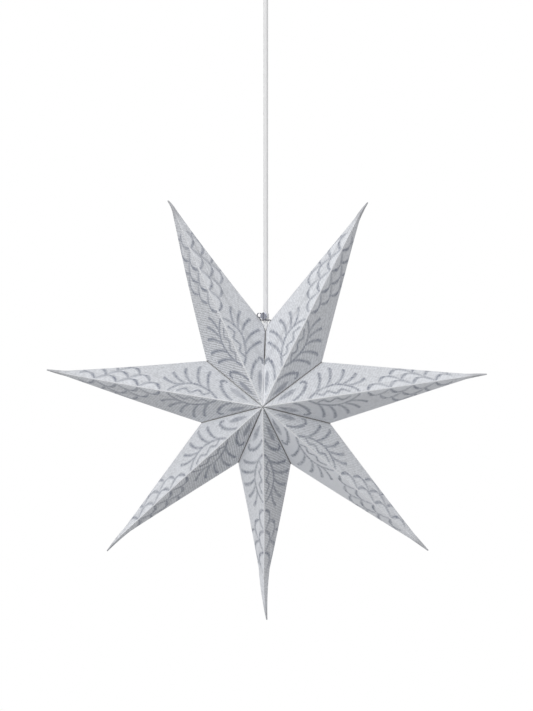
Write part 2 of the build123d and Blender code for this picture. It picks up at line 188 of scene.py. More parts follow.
# soft studio: one large light from the upper left, an even white room and a pale floor far below
studio = {
    "keyTowards": (-0.34, -0.85, 0.40), "keyDistance": 4.0, "keySize": 2.4, "keyPower": 69.0,
    "roomLevel": 0.61,
    "floorHeight": -2.37, "floorRadius": 60.0, "floorColour": (0.86, 0.86, 0.86, 1),
    "floorBounce": (0.6, 0.6, 0.6, 1), "floorGlow": 0.5, "shadowFrom": 1.0, "shadowTo": 4.0,
    "cardPlace": (-4.6, -5.0, -1.1), "cardRadius": 6.5, "cardSides": 48,
    "cardMiddle": 1.1, "cardPale": 0.5, "cardDark": 0.02,
}


def seenDirectly(wire):  # 1 for rays that show the background: camera, mirror and see-through rays
    rays = wire.node("ShaderNodeLightPath")
    shown = rays.other("Is Camera Ray").most(rays.other("Is Glossy Ray"))
    return shown.most(rays.other("Is Transmission Ray"))


def lightRoom(setup):
    scene.view_settings.view_transform = "Standard"
    world = bpy.data.worlds.new("room")
    scene.world = world
    world.use_nodes = True
    world.node_tree.nodes.clear()
    wire = Wire(world.node_tree)
    shown = seenDirectly(wire)
    level = shown * (1.0 - setup["roomLevel"]) + setup["roomLevel"]
    glow = wire.node("ShaderNodeBackground", sockets={"Color": (1, 1, 1, 1), "Strength": level})
    wire.node("ShaderNodeOutputWorld", sockets={"Surface": glow})
    towards = Vector(setup["keyTowards"]).normalized()
    data = bpy.data.lights.new("key", "AREA")
    data.shape = "DISK"
    data.size = setup["keySize"]
    data.energy = setup["keyPower"]
    key = bpy.data.objects.new("key", data)
    scene.collection.objects.link(key)
    key.location = starMiddle + towards * setup["keyDistance"]
    key.rotation_mode = "QUATERNION"
    key.rotation_quaternion = towards.to_track_quat("Z", "Y")


def flatPiece(name, corners, material):  # one flat face that belongs to the studio
    mesh = bpy.data.meshes.new(name)
    mesh.from_pydata(corners, [], [tuple(range(len(corners)))])
    mesh.materials.append(material)
    piece = bpy.data.objects.new(name, mesh)
    scene.collection.objects.link(piece)
    return piece


def layFloor(setup):
    material, wire = newMaterial("pale floor")
    flat = wire.node("ShaderNodeSeparateXYZ", sockets={0: objectPlace(wire)})
    away = (flat * flat + flat.other("Y") * flat.other("Y")).root()
    fadeRun = setup["shadowTo"] - setup["shadowFrom"]
    far = ((away - setup["shadowFrom"]) / fadeRun).clamped()
    shown = seenDirectly(wire)
    cover = shown * (setup["floorGlow"] + (1.0 - setup["floorGlow"]) * far)
    matt = wire.node("ShaderNodeBsdfDiffuse", sockets={
        "Color": shown.blend(setup["floorBounce"], setup["floorColour"])})
    white = wire.node("ShaderNodeEmission", sockets={"Color": (1, 1, 1, 1), "Strength": 1.0})
    both = wire.node("ShaderNodeMixShader", sockets={0: cover, 1: matt, 2: white})
    wire.node("ShaderNodeOutputMaterial", sockets={"Surface": both})
    reach, height = setup["floorRadius"], setup["floorHeight"]
    corners = [(reach * x, reach * y, height) for x, y in ((-1, -1), (1, -1), (1, 1), (-1, 1))]
    floor = flatPiece("floor", corners, material)


def hangCard(setup):  # dark card behind the camera, which only polished metal shows
    material, wire = newMaterial("dark card")
    place = Vector(setup["cardPlace"])
    spot = wire.node("ShaderNodeSeparateXYZ", sockets={0: objectPlace(wire)})
    x, z = spot - place.x, spot.other("Z") - place.z
    ring = ((x * x + z * z).root() / setup["cardMiddle"] - 1.0).clamped()
    shade = setup["cardPale"] + ring * (setup["cardDark"] - setup["cardPale"])
    dark = wire.node("ShaderNodeEmission", sockets={"Color": (1, 1, 1, 1), "Strength": shade})
    wire.node("ShaderNodeOutputMaterial", sockets={"Surface": dark})
    sides, radius = setup["cardSides"], setup["cardRadius"]
    turns = [fullTurn * step / sides for step in range(sides)]
    rim = [place + radius * Vector((math.cos(turn), 0, math.sin(turn))) for turn in turns]
    card = flatPiece("card", rim, material)
    card.visible_camera = False
    card.visible_diffuse = False
    card.visible_transmission = False
    card.visible_shadow = False


lightRoom(studio)
layFloor(studio)
hangCard(studio)
print("studio lit")


# cord: pulled straight by the star's weight, from the lamp holder up to the ceiling block
cordFacts = {
    "diameter": 0.0064, "exit": (0, 0, -0.536), "length": 0.532,
    "route": [(0, 0, -0.550), (0, 0, -0.512), (0, 0, -0.056), (0, 0, -0.018)],
    "order": 3, "steps": 12, "roundness": 8,
    "colour": (0.86, 0.86, 0.87, 1), "dull": 0.93, "cloudGrain": 90.0, "speckGrain": 1400.0,
    "roughness": 0.36, "unevenRoughness": 0.12, "speckDepth": 0.00002,
}


def cordSheath(facts):
    material, wire = newMaterial("cord sheath")
    place = objectPlace(wire)
    cloud = grain(wire, place, facts["cloudGrain"])
    speck = grain(wire, place, facts["speckGrain"], detail=2.0)
    dull = darker(facts["colour"], facts["dull"])
    surface(wire, speck, facts["speckDepth"], Base_Color=cloud.blend(dull, facts["colour"]),
            Roughness=facts["roughness"] + facts["unevenRoughness"] * cloud, IOR=1.48)
    return material


def hangCord(facts):
    curve = bpy.data.curves.new("cord_line", "CURVE")
    curve.dimensions = "3D"
    line = curve.splines.new("NURBS")
    line.points.add(len(facts["route"]) - 1)
    for point, place in zip(line.points, facts["route"]):
        point.co = (*place, 1)
    line.order_u = facts["order"]
    line.use_endpoint_u = True
    line.resolution_u = facts["steps"]
    curve.bevel_depth = facts["diameter"] / 2
    curve.bevel_resolution = facts["roundness"]
    curve.use_fill_caps = True
    curve.materials.append(cordSheath(facts))
    cord = bpy.data.objects.new("lamp_cord", curve)
    scene.collection.objects.link(cord)
    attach(cord, "suspension")
    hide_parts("cord")


hangCord(cordFacts)
print("cord hung")


# print on the paper: every size in millimetres, along the ridge fold and away from it
printPlan = {
    "inkEdge": 3.0, "ridgeBare": 1.4, "ridgeSoft": 0.6, "strokeSoft": 1.5, "strokeReach": 2.2,
    # each stroke is an arc through three places, with its half width at the first and the last
    "strokes": [
        {"arc": ((61, 1), (79, 15.5), (104, 23.8)), "half": (1.4, 1.8)},
        {"arc": ((104, 23.8), (119.5, 18.5), (133.5, 2)), "half": (1.8, 1.5)},
        {"arc": ((76.5, 14.5), (85.6, 31.5), (91, 54)), "half": (1.2, 2.2)},
        {"arc": ((91.5, 21), (102.4, 38), (108, 61)), "half": (1.2, 2.3)},
        {"arc": ((106, 24), (118.6, 36.5), (126, 53)), "half": (1.3, 2.3)},
        {"arc": ((116, 22.5), (129.8, 30.2), (140, 41)), "half": (1.3, 2.3)},
        {"arc": ((121, 18), (136, 20.0), (148.5, 27.5)), "half": (1.3, 2.3)},
        {"arc": ((40, 3), (55, 14.5), (66.3, 31)), "half": (1.4, 2.3)},
        {"arc": ((66.3, 31), (66.4, 38.2), (60.2, 38.6)), "half": (2.2, 2.7)},
    ],
    # wavy line under the arch
    "leaf": {"middle": 8.8, "wave": 2.9, "crest": 91.5, "pitch": 19.5, "start": 71.0, "end": 122.0,
             "half": 1.4, "steep": 0.8},
    "drop": {"along": 35.5, "away": 17.2, "turn": 32.0, "length": 19.0, "half": 3.9,
             "swell": 0.35, "ink": 0.75},
    # rows of fish scales, each row shifted by a share of the pitch
    "scales": {"start": 143.5, "end": 267.0, "pitch": 32.5, "height": 12.0, "base": 1.7,
               "shift": 0.60, "skew": 0.26, "round": 1.65, "thin": 1.5, "thicker": 1.1,
               "thinning": 0.4, "ink": 0.9, "inkFade": 0.3, "pearlSoft": 3.0},
}


def within(value, low, high, soft=1.0):
    return ((value - low) / soft).clamped() * ((high - value) / soft).clamped()


def circleThrough(start, middle, end):  # middle, radius, facing angle and half span of an arc
    (ax, ay), (bx, by), (cx, cy) = start, middle, end
    double = 2 * (ax * (by - cy) + bx * (cy - ay) + cx * (ay - by))
    first, second, third = [p * p + q * q for p, q in (start, middle, end)]
    x = (first * (by - cy) + second * (cy - ay) + third * (ay - by)) / double
    y = (first * (cx - bx) + second * (ax - cx) + third * (bx - ax)) / double
    opening, between, closing = [math.atan2(q - y, p - x) for p, q in (start, middle, end)]
    if (between - opening) % fullTurn > (closing - opening) % fullTurn:
        opening, closing = closing, opening
    half = (closing - opening) % fullTurn / 2
    return x, y, math.hypot(ax - x, ay - y), opening + half, half


def inkMask(plan, u, v, rough):  # ink of the whole print, and the paler paper inside the scales
    def stroke(distance, half):
        return ((half - distance - rough) / plan["inkEdge"] + 0.5).clamped()

    def arcOf(one):
        x, y, radius, turn, half = circleThrough(*one["arc"])
        (startU, startV), _, (endU, endV) = one["arc"]
        runU, runV = endU - startU, endV - startV
        run = runU * runU + runV * runV
        du, dv = u - x, v - y
        away = abs((du * du + dv * dv).root() - radius)
        along = (u - startU) * (runU / run) + (v - startV) * (runV / run)
        firstHalf, lastHalf = one["half"]
        width = firstHalf + along.clamped() * (lastHalf - firstHalf)
        facing = du * math.cos(turn) + dv * math.sin(turn) - radius * math.cos(half)
        soft = plan["strokeSoft"] / math.sqrt(run)
        onArc = within(along, -soft / 2, 1.0 + soft / 2, soft) * (facing > -plan["strokeReach"])
        return stroke(away, width) * onArc

    leaf = plan["leaf"]
    wave = ((u - leaf["crest"]) * (fullTurn / leaf["pitch"])).cosine() * leaf["wave"]
    fromWave = abs(v - leaf["middle"] - wave) * leaf["steep"]
    ink = stroke(fromWave, leaf["half"]) * within(u, leaf["start"], leaf["end"])

    drop = plan["drop"]
    turn = math.radians(drop["turn"])
    du, dv = u - drop["along"], v - drop["away"]
    dropAlong = (du * math.cos(turn) + dv * math.sin(turn)) / drop["length"]
    dropAway = abs(dv * math.cos(turn) - du * math.sin(turn))
    swell = 1.0 + drop["swell"] * dropAlong
    dropHalf = (1.0 - dropAlong * dropAlong) * swell * drop["half"]
    onDrop = (1.0 - abs(dropAlong) > 0.0) * drop["ink"]
    ink = ink.most(stroke(dropAway, dropHalf) * onDrop)

    scale = plan["scales"]
    pitch, height = scale["pitch"], scale["height"]
    rows = (v - scale["base"]) / height
    row = rows.floor()
    place = ((u - scale["start"]) / pitch - row * scale["shift"]) % 1.0
    spot = (place + scale["skew"] * place * (1.0 - place)) * 2.0 - 1.0  # -1 to 1 along one scale
    bulge = 1.0 - abs(spot) ** scale["round"]
    lean = abs(spot) ** (scale["round"] - 1.0) * (2.0 * scale["round"] / pitch)
    slope = (1.0 / height ** 2 + lean * lean).root()
    begins = scale["start"] + row * (pitch * scale["shift"])
    scaleHalf = scale["thin"] + scale["thicker"] * bulge - scale["thinning"] * spot
    onScale = stroke(abs(rows - row - bulge) / slope, scaleHalf)
    onScale = onScale * (scale["ink"] - scale["inkFade"] * spot).clamped()  # fades outwards
    inScales = within(u, begins, scale["end"]) * (v > scale["base"])
    ink = ink.most(onScale * inScales)
    pearl = ((bulge - rows + row) * (height / scale["pearlSoft"])).clamped() * inScales

    for one in plan["strokes"]:
        ink = ink.most(arcOf(one))
    return ink * ((v - plan["ridgeBare"]) / plan["ridgeSoft"]).clamped(), pearl


# paper: places and widths in millimetres on the flat sheet, grains for metres
paperLook = {
    # the pale colour for the ridge fold is a painted highlight, also used for the pale strip of the
    # lap
    "paper": (0.84, 0.86, 0.902, 1), "ink": (0.22, 0.24, 0.30, 1), "ridgeHighlightAndLap": (0.94, 0.945, 0.96, 1),
    # the dark colour for the ends of the points is painted shade
    # the dark colour for the seams is painted shade beside each seam
    "seam": (0.15, 0.15, 0.16, 1), "slim": (0.34, 0.34, 0.36, 1), "inside": (0.84, 0.84, 0.84, 1),
    "fibreGrain": 420.0, "speckGrain": 250.0, "cloudGrain": 24.0, "edgeGrain": 330.0,
    "wearGrain": 44.0,
    # the paper's ribbing, which strays a little and fades towards the tips
    "ribPitch": 3.3, "ribTurn": 55.0, "ribStrayCloud": 5.0, "ribStraySpeck": 3.0,
    "ribFade": 0.65, "ribFadeFrom": 110.0, "ribFadeRun": 90.0,
    # shade of the bare sheet, from the dim colour at 0 to the paper's own at 1, with painted light
    # and shade for each face
    "dim": 0.55, "shade": 0.70, "fibreShade": 0.3, "speckShade": 1.1, "cloudShade": 0.12,
    "ribShade": 0.62, "paintedFaceLightStrength": 2.2, "pearlShade": 0.16,
    # painted highlight along the ridge fold, brightest near the middle of the star
    "ridgeHighlightWidth": 1.7, "ridgeHighlight": 0.9, "ridgeHighlightFade": 0.4, "ridgeHighlightRun": 170.0,
    # painted shade towards the tips of the points
    "slimFrom": 283.0, "slimRun": 14.0, "slimDark": 0.5,
    # ink that is worn in patches
    "edgeRough": 3.0, "edgeRib": 1.0, "patchy": 0.50, "patchyRibbed": 0.24, "patchySpeck": 2.2,
    "patchyRib": 0.5, "wearStrength": 3.2, "wearFrom": 0.45, "inkLeft": 0.12,
    "roughness": 0.86, "inkSmooth": 0.36, "inkMetal": 0.30,
    # painted shade in the dip beside a seam, and the pale strip of the lap
    "seamShadeWidth": 1.1, "lapMark": 1000.0, "stripFrom": 0.3, "stripWidth": 3.2, "stripSoft": 0.6,
    "stripPale": 0.5,
    "reliefDepth": 0.0003, "ribRelief": 0.6, "fibreRelief": 0.3, "inkRelief": 0.2,
    "insideDull": 0.92, "insideDepth": 0.00005,
}


def sheetPlace(wire):  # millimetres along the ridge fold, away from it (signed), and from a seam
    sheet = wire.node("ShaderNodeAttribute", {"attribute_name": "sheet"}).other("Vector")
    metres = wire.node("ShaderNodeSeparateXYZ", sockets={0: sheet})
    return sheet, metres * 1000.0, metres.other("Y") * 1000.0, metres.other("Z") * 1000.0


def sheetPaintedLightAndRibs(wire):  # painted light and shade of the face, its rib strength with painted grazing shade, and 1 where it is broad enough to print
    finish = wire.node("ShaderNodeAttribute", {"attribute_name": "finish"}).other("Vector")
    parts = wire.node("ShaderNodeSeparateXYZ", sockets={0: finish})
    return parts, parts.other("Y"), parts.other("Z")


def printedPaper(look):
    material, wire = newMaterial("printed paper")
    sheet, u, side, seam = sheetPlace(wire)
    tone, ribbedAndGrazingShade, broad = sheetPaintedLightAndRibs(wire)
    v = abs(side)
    fibre = grain(wire, sheet, look["fibreGrain"], detail=4.0, roughness=0.65)
    speck = grain(wire, sheet, look["speckGrain"], detail=2.0) - 0.5
    cloud = grain(wire, sheet, look["cloudGrain"], detail=2.0)

    turn = math.radians(look["ribTurn"])
    across = u * math.sin(turn) + side * math.cos(turn)
    across = across + cloud * look["ribStrayCloud"] + speck * look["ribStraySpeck"]
    rib = (across * (fullTurn / look["ribPitch"])).sine() * 0.5 + 0.5
    fromMiddle = ((u - look["ribFadeFrom"]) / look["ribFadeRun"]).clamped()
    ribbedAndGrazingShade = ribbedAndGrazingShade * (1.0 - look["ribFade"] * fromMiddle)

    edge = grain(wire, sheet, look["edgeGrain"]) - 0.5
    rough = edge * look["edgeRough"] + (rib - 0.5) * look["edgeRib"]
    ink, pearl = inkMask(printPlan, u, v, rough)

    # painted highlight: a pale line along the ridge fold, fading away from the middle
    ridgeHighlight = look["ridgeHighlight"] - look["ridgeHighlightFade"] * (u / look["ridgeHighlightRun"]).clamped()
    fold = (1.0 - v / look["ridgeHighlightWidth"]).clamped() * ridgeHighlight
    uneven = (fibre - 0.5) * look["fibreShade"] + speck * look["speckShade"]
    uneven = uneven + (cloud - 0.5) * look["cloudShade"]
    # rib stripes in the colour: the paper's ribbing, and painted shade of its relief, strongest on
    # faces where light grazes
    uneven = uneven + (rib - 0.5) * (ribbedAndGrazingShade * look["ribShade"])
    # painted light and shade: each face is made lighter or darker by its own factor
    shade = look["shade"] + uneven + (tone - 1.0) * look["paintedFaceLightStrength"] + look["pearlShade"] * pearl
    bare = shade.clamped().blend(darker(look["paper"], look["dim"]), look["paper"])
    bare = fold.blend(bare, look["ridgeHighlightAndLap"])
    slim = ((u - look["slimFrom"]) / look["slimRun"]).clamped() * look["slimDark"]
    bare = slim.blend(bare, look["slim"])  # painted shade at the ends of the points

    wear = grain(wire, objectPlace(wire), look["wearGrain"], roughness=0.6)
    worn = (look["wearStrength"] * wear - look["wearFrom"]).clamped()
    patchy = look["patchy"] + look["patchyRibbed"] * ribbedAndGrazingShade + look["patchySpeck"] * speck
    patchy = patchy + look["patchyRib"] * (rib - 0.5) * ribbedAndGrazingShade
    cover = ink * broad * (patchy * worn + look["inkLeft"]).clamped()

    # painted shade: a dark line beside each seam, where shade falls in the dip between the points
    seamShade = (1.0 - seam / look["seamShadeWidth"]).clamped()
    lapStart = look["lapMark"]  # the lap is marked by one metre more from the seam
    strip = within(seam, lapStart + look["stripFrom"], lapStart + look["stripWidth"],
                   look["stripSoft"]) * look["stripPale"]
    colour = seamShade.blend(cover.blend(bare, look["ink"]), look["seam"])
    colour = strip.blend(colour, look["ridgeHighlightAndLap"])
    relief = rib * look["ribRelief"] + fibre * look["fibreRelief"] + ink * look["inkRelief"]
    surface(wire, relief, look["reliefDepth"], Base_Color=colour,
            Roughness=look["roughness"] - look["inkSmooth"] * cover,
            Metallic=look["inkMetal"] * cover, IOR=1.45)
    return material


def plainPaper(look):
    material, wire = newMaterial("paper inside")
    fibre = grain(wire, objectPlace(wire), look["fibreGrain"], detail=4.0, roughness=0.65)
    dull = darker(look["inside"], look["insideDull"])
    surface(wire, fibre, look["insideDepth"], Base_Color=fibre.blend(dull, look["inside"]),
            Roughness=0.9, IOR=1.45)
    return material


# folded star: sizes in metres, angles from straight up, clockwise as seen from the front
starPlan = {
    "tips": (26.5, 82.9, 133.0, 180.0, 227.0, 277.1, 333.5),
    "notches": (0.0, 55.2, 109.2, 158.3, 203.8, 250.8, 304.0, 360.0),
    "notchRadii": (0.102, 0.094, 0.094, 0.094, 0.094, 0.094, 0.098, 0.102),
    "slit": 0.0003, "cordRoom": 0.0036, "tipRadius": 0.303, "tipHalf": 0.0009,
    # where the edges of each point would meet, and how far before that its narrow end starts
    "meeting": (0.293, 0.294, 0.299, 0.272, 0.286, 0.296, 0.301),
    "ends": (0.018, 0.019, 0.025, 0.040, 0.026, 0.019, 0.014), "endTaper": 5.0,
    # millimetres for each point, clockwise from the upper right one
    "lean": (1.0, -0.3, -2.0, 4.6, -1.0, 3.0, 5.0),
    "curl": (2.2, 0.4, 0.0, -6.2, -2.5, 1.0, -2.5),
    "curlFront": (-2.0, 1.0, 0.0, -1.0, 2.0, -1.0, 1.0),
    "bow": (0.5, 0.8, 0.6, 0.7, 0.5, 0.9, 0.6),
    "printShift": (0.0, 3.0, 3.0, 9.0, 9.0, 5.0, 1.0),
    # painted light and shade of each face, lighter or darker by how light falls on it, and how
    # strongly its ribbing shows, partly painted grazing shade
    "leftPaintedFaceLight": (1.0, 1.02, 0.99, 0.95, 0.96, 0.92, 0.86),
    "rightPaintedFaceLight": (0.96, 1.07, 1.17, 1.06, 0.98, 0.93, 0.98),
    # rib strength of each face: the paper's ribbing, raised as painted shade on faces where light
    # grazes
    "leftRibsAndGrazingShade": (0.4, 0.4, 0.5, 1.0, 1.0, 0.7, 1.05),
    "rightRibsAndGrazingShade": (0.8, 0.7, 0.45, 0.4, 0.4, 0.45, 0.55),
}
# inputs of the node tree, with the sizes that all points share
foldInputs = {
    "Tip angle": 0.0, "Left notch angle": 0.0, "Right notch angle": 0.0,
    "Left notch radius": 0.094, "Right notch radius": 0.094, "Half depth": 0.090,
    "Meeting radius": 0.292, "Shoulder radius": 0.284, "Tip radius": 0.303, "Sharp radius": 0.335,
    "Flap": 0.009, "Paper": 0.0004, "Crease": 0.0004, "Crease width": 0.0022, "Groove": 0.0009,
    "Bow": 0.0006, "Ripple": 0.0004, "Lean": 0.0, "Curl": 0.0, "Curl front": 0.0,
    "Left slit": 0.0, "Right slit": 0.0, "Left cord room": 0.0, "Right cord room": 0.0,
    # next line: painted light and shade for each face, then rib strength that is partly painted
    # grazing shade
    "Left tone": 1.0, "Right tone": 1.0, "Left ribsAndGrazingShade": 0.4, "Right ribsAndGrazingShade": 0.4,
    "Print shift": 0.0, "Seed": 0.0,
}
# how the grid is laid out and softened: metres, or shares of a face
foldShape = {
    "rows": 40, "needleRows": 12, "flapRows": 3, "columns": 20, "merge": 0.000004,
    "crowding": 0.85, "rowPower": 1.5,  # grid lines gather at the folds and at the seam
    "flapStep": 0.495, "flapFold": 0.01, "tipCap": 0.0004,
    "turnSharpness": 8.0, "edgeSharpness": 1.3, "ridgeSharpness": 1.2, "seamRun": 0.17,
    "lapUpTo": 0.55, "rippleGrain": 16.0, "slenderUnder": 0.010,
    "slitFrom": 0.52, "slitRun": 0.42, "slitFade": 0.030, "hairGap": 0.00005,
    "cordFade": 0.005, "cordSlack": 1.05, "leastRoom": 0.0001,
    "leanFrom": 0.120, "leanRun": 0.183, "printPast": 0.004, "printFade": 0.012,
}


def storeVector(wire, geometry, name, *parts):
    value = wire.node("ShaderNodeCombineXYZ", sockets=dict(enumerate(parts)))
    kind = {"data_type": "FLOAT_VECTOR", "domain": "POINT"}
    return wire.node("GeometryNodeStoreNamedAttribute", kind, {
        "Geometry": geometry, "Name": name, "Value": value})


def foldedSheet(wire, given, inside):  # one skin of a folded point: a grid bent to the fold lines
    shape = foldShape
    rows, needleRows, flapRows = shape["rows"], shape["needleRows"], shape["flapRows"]
    columns = shape["columns"]
    around = columns * 4 + 1
    upwards = flapRows + rows + needleRows + 2
    grid = wire.node("GeometryNodeMeshGrid", sockets={
        "Vertices X": upwards, "Vertices Y": around})
    index = wire.node("GeometryNodeInputIndex")
    row = ((index + 0.5) / around).floor() - flapRows
    column = index - (row + flapRows) * around

    # rows run from the flap's inner edge over the seam, row 0, up the face to the needle's tip
    face = (row / rows).clamped()
    needle = ((row - rows) / needleRows).clamped()
    end = (row - (rows + needleRows)).clamped()
    flapPart = (-row - 1.0).clamped() + (-row - 2.0).clamped()
    flapSide = (-row).clamped()
    rise = face ** shape["rowPower"]
    flapUp = 1.0 - flapPart * shape["flapStep"] - flapSide * shape["flapFold"]

    # columns run round the four folds: front ridge, right edge, back ridge, left edge
    turns = column / columns
    quarter = turns.floor().least(3.0)
    step = turns - quarter
    roundFolds = quarter + step - (step * fullTurn).sine() * (shape["crowding"] / fullTurn)
    front = 1.0 - abs(roundFolds - 2.0)
    beside = 1.0 - abs((roundFolds + 1.0) % 4.0 - 2.0)
    toEdge, toRidge = abs(beside), abs(front)
    right = beside > 0.0

    def pick(name):  # the value of the half that the face is on
        left = given[f"Left {name}"]
        return left + (given[f"Right {name}"] - left) * right

    tipAngle, tipRadius, sharp = given["Tip angle"], given["Tip radius"], given["Sharp radius"]
    depth, meeting = given["Half depth"], given["Meeting radius"]
    shoulder = given["Shoulder radius"]
    taper = (sharp - tipRadius) / (sharp - shoulder)
    notchRadius = pick("notch radius")
    notchTurn = abs(pick("notch angle") - tipAngle)
    notchAlong, notchAside = notchRadius * notchTurn.cosine(), notchRadius * notchTurn.sine()
    seam = (notchRadius * notchRadius + depth * depth).root()
    flapDepth = depth - given["Flap"] * seam / notchRadius
    flapShare = 1.0 - given["Flap"] * seam / (depth * notchRadius)

    # each fold line is straight from the seam to the needle and from there to the tip
    ridgeAtNeedle = depth * (1.0 - shoulder / meeting)
    edgeAtNeedle = notchAside * (meeting - shoulder) / (meeting - notchAlong)
    slimming = (1.0 - (1.0 - taper) * needle) * (1.0 - end)
    tipCap = -shape["tipCap"] if inside else shape["tipCap"]
    needleRun = (tipRadius - shoulder) * needle + end * tipCap
    ridgeAway = flapDepth + (depth - flapDepth) * flapUp + (ridgeAtNeedle - depth) * rise
    ridgeAway = ridgeAway * slimming
    ridgeAlong = shoulder * rise + needleRun
    flapScale = flapShare + (1.0 - flapShare) * flapUp
    edgeAside = (notchAside * flapScale + (edgeAtNeedle - notchAside) * rise) * slimming
    edgeAlong = notchAlong * flapScale + (shoulder - notchAlong) * rise + needleRun

    along = ridgeAlong * toRidge + edgeAlong * toEdge
    aside = edgeAside * beside
    forth = ridgeAway * front

    # outward direction: of the faces above the seam, and of the seam plane on the flaps
    def turned(share):  # from -1 on one face to 1 on the next, smoothly over the fold
        part = (share * shape["turnSharpness"]).least(1.0).most(-1.0)
        return part * abs(part) * (3.0 - 2.0 * abs(part))

    sideSign, frontSign = turned(beside), turned(front)
    faceAlong = notchAside * depth
    faceAside = sideSign * (meeting - notchAlong) * depth
    faceForth = frontSign * notchAside * meeting
    size = (faceAlong * faceAlong + faceAside * faceAside + faceForth * faceForth).root()
    seamAlong = -(notchAside / notchRadius)
    seamAside = sideSign * notchAlong / notchRadius
    onFace = (1.0 - flapSide) * (0.5 + 0.5 * (row > 0.5))
    outAlong = faceAlong / size * onFace + seamAlong * (1.0 - onFace)
    outAside = faceAside / size * onFace + seamAside * (1.0 - onFace)
    outForth = faceForth / size * onFace

    # soft folds, a slight bow of each face, a little unevenness
    seamGap = rise * shape["seamRun"]

    def near(distance):
        close = (1.0 - distance / given["Crease width"]).clamped()
        return close * close

    folds = near(toEdge * edgeAside * shape["edgeSharpness"])
    folds = folds + near(toRidge * ridgeAway * shape["ridgeSharpness"])
    # the closed stretch of the closing seam, where one sheet laps the other
    lap = (pick("slit") > 0.0) * (shape["lapUpTo"] - toEdge > 0.0)
    middle = toEdge * toRidge * 4.0
    spot = wire.node("ShaderNodeCombineXYZ", sockets={0: along, 1: aside, 2: forth + given["Seed"]})
    ripple = (grain(wire, spot, shape["rippleGrain"], detail=1.0) - 0.5) * 2.0
    arch = (rise * math.pi).sine()
    amount = (given["Bow"] * arch + given["Ripple"] * ripple) * middle
    dent = given["Crease"] * folds + given["Groove"] * near(seamGap) * (1.0 - lap)
    slender = (edgeAside / shape["slenderUnder"]).least(1.0)
    amount = amount - dent * slender * (1.0 - needle) * (1.0 - flapSide)
    if inside:
        amount = amount - given["Paper"] * (1.0 - flapPart * 0.5) * slender
    amount = amount * (1.0 - end)

    # the closing seam stands open between its lips, and wider where the cord passes its notch
    lens = (((toEdge - shape["slitFrom"]) / shape["slitRun"]).clamped() * math.pi).sine()
    fade = (1.0 - seamGap / shape["slitFade"]).clamped()
    cordRoom = pick("cord room")
    fromCord = toRidge * depth / (cordRoom.most(shape["leastRoom"]) * shape["cordSlack"])
    passage = (1.0 - fromCord * fromCord).clamped().root()
    atNotch = (1.0 - seamGap / shape["cordFade"]).clamped()
    opened = pick("slit") * lens * fade * fade + cordRoom * passage * atNotch
    opened = opened + shape["hairGap"] * fade

    # the whole point leans a little, and its tip curls
    lean = ((along - shape["leanFrom"]) / shape["leanRun"]).clamped()
    curl = ((along - shoulder) / (tipRadius - shoulder)).clamped()
    bend = given["Lean"] * lean * lean + given["Curl"] * curl * curl
    bentAlong = along + outAlong * amount - seamAlong * opened
    bentAside = aside + outAside * amount - seamAside * opened + bend
    bentForth = forth + outForth * amount + given["Curl front"] * curl * curl

    sine, cosine = tipAngle.sine(), tipAngle.cosine()
    place = wire.node("ShaderNodeCombineXYZ", sockets={
        0: bentAlong * sine + bentAside * cosine, 1: bentForth,
        2: bentAlong * cosine - bentAside * sine + starMiddle.z})
    bent = wire.node("GeometryNodeSetPosition", sockets={"Geometry": grid, "Position": place})

    # place on the flat sheet, for the print, and the painted light and shade, rib strength and
    # printable breadth of the face
    ridge = (meeting * meeting + depth * depth).root()
    back = depth - abs(forth)
    u = (along * meeting + back * depth) / ridge
    v = (along * along + aside * aside + back * back - u * u).most(0.0).root()
    v = v * (right * 2.0 - 1.0)
    bent = storeVector(wire, bent, "sheet", u - given["Print shift"], v, seamGap + lap)
    broad = ((shoulder + shape["printPast"] - along) / shape["printFade"]).clamped()
    # painted light and shade of the face, rib strength that is partly painted grazing shade, and
    # printable breadth
    return storeVector(wire, bent, "finish", pick("tone"), pick("ribsAndGrazingShade"), broad)


def foldTree(printed, plain):
    tree = bpy.data.node_groups.new("folded point", "GeometryNodeTree")
    tree.interface.new_socket("Geometry", in_out="OUTPUT", socket_type="NodeSocketGeometry")
    for name, value in foldInputs.items():
        entry = tree.interface.new_socket(name, in_out="INPUT", socket_type="NodeSocketFloat")
        entry.default_value = value
    wire = Wire(tree)
    start = wire.node("NodeGroupInput")
    given = {name: start.other(name) for name in foldInputs}
    outer = foldedSheet(wire, given, inside=False)
    inner = foldedSheet(wire, given, inside=True)
    outer = wire.node("GeometryNodeFlipFaces", sockets={0: outer})
    outer = wire.node("GeometryNodeSetMaterial", sockets={"Geometry": outer, "Material": printed})
    inner = wire.node("GeometryNodeSetMaterial", sockets={"Geometry": inner, "Material": plain})
    both = wire.node("GeometryNodeJoinGeometry", sockets={0: [outer, inner]})
    closed = wire.node("GeometryNodeMergeByDistance", sockets={
        "Geometry": both, "Distance": foldShape["merge"]})
    real = wire.node("GeometryNodeRealizeInstances", sockets={0: closed})
    wire.node("NodeGroupOutput", sockets={0: real})
    return tree


def growPiece(name, tree, values):  # runs a tree once and keeps its result as a plain mesh
    piece = bpy.data.objects.new(name, bpy.data.meshes.new(name))
    scene.collection.objects.link(piece)
    growth = piece.modifiers.new("growth", "NODES")
    growth.node_group = tree
    for item in tree.interface.items_tree:
        if item.in_out == "INPUT" and item.name in values:
            growth[item.identifier] = values[item.name]
    graph = bpy.context.evaluated_depsgraph_get()
    mesh = bpy.data.meshes.new_from_object(
        piece.evaluated_get(graph), preserve_all_data_layers=True, depsgraph=graph)
    piece.modifiers.remove(growth)
    piece.data = mesh
    mesh.name = name
    mesh.shade_smooth()
    return piece


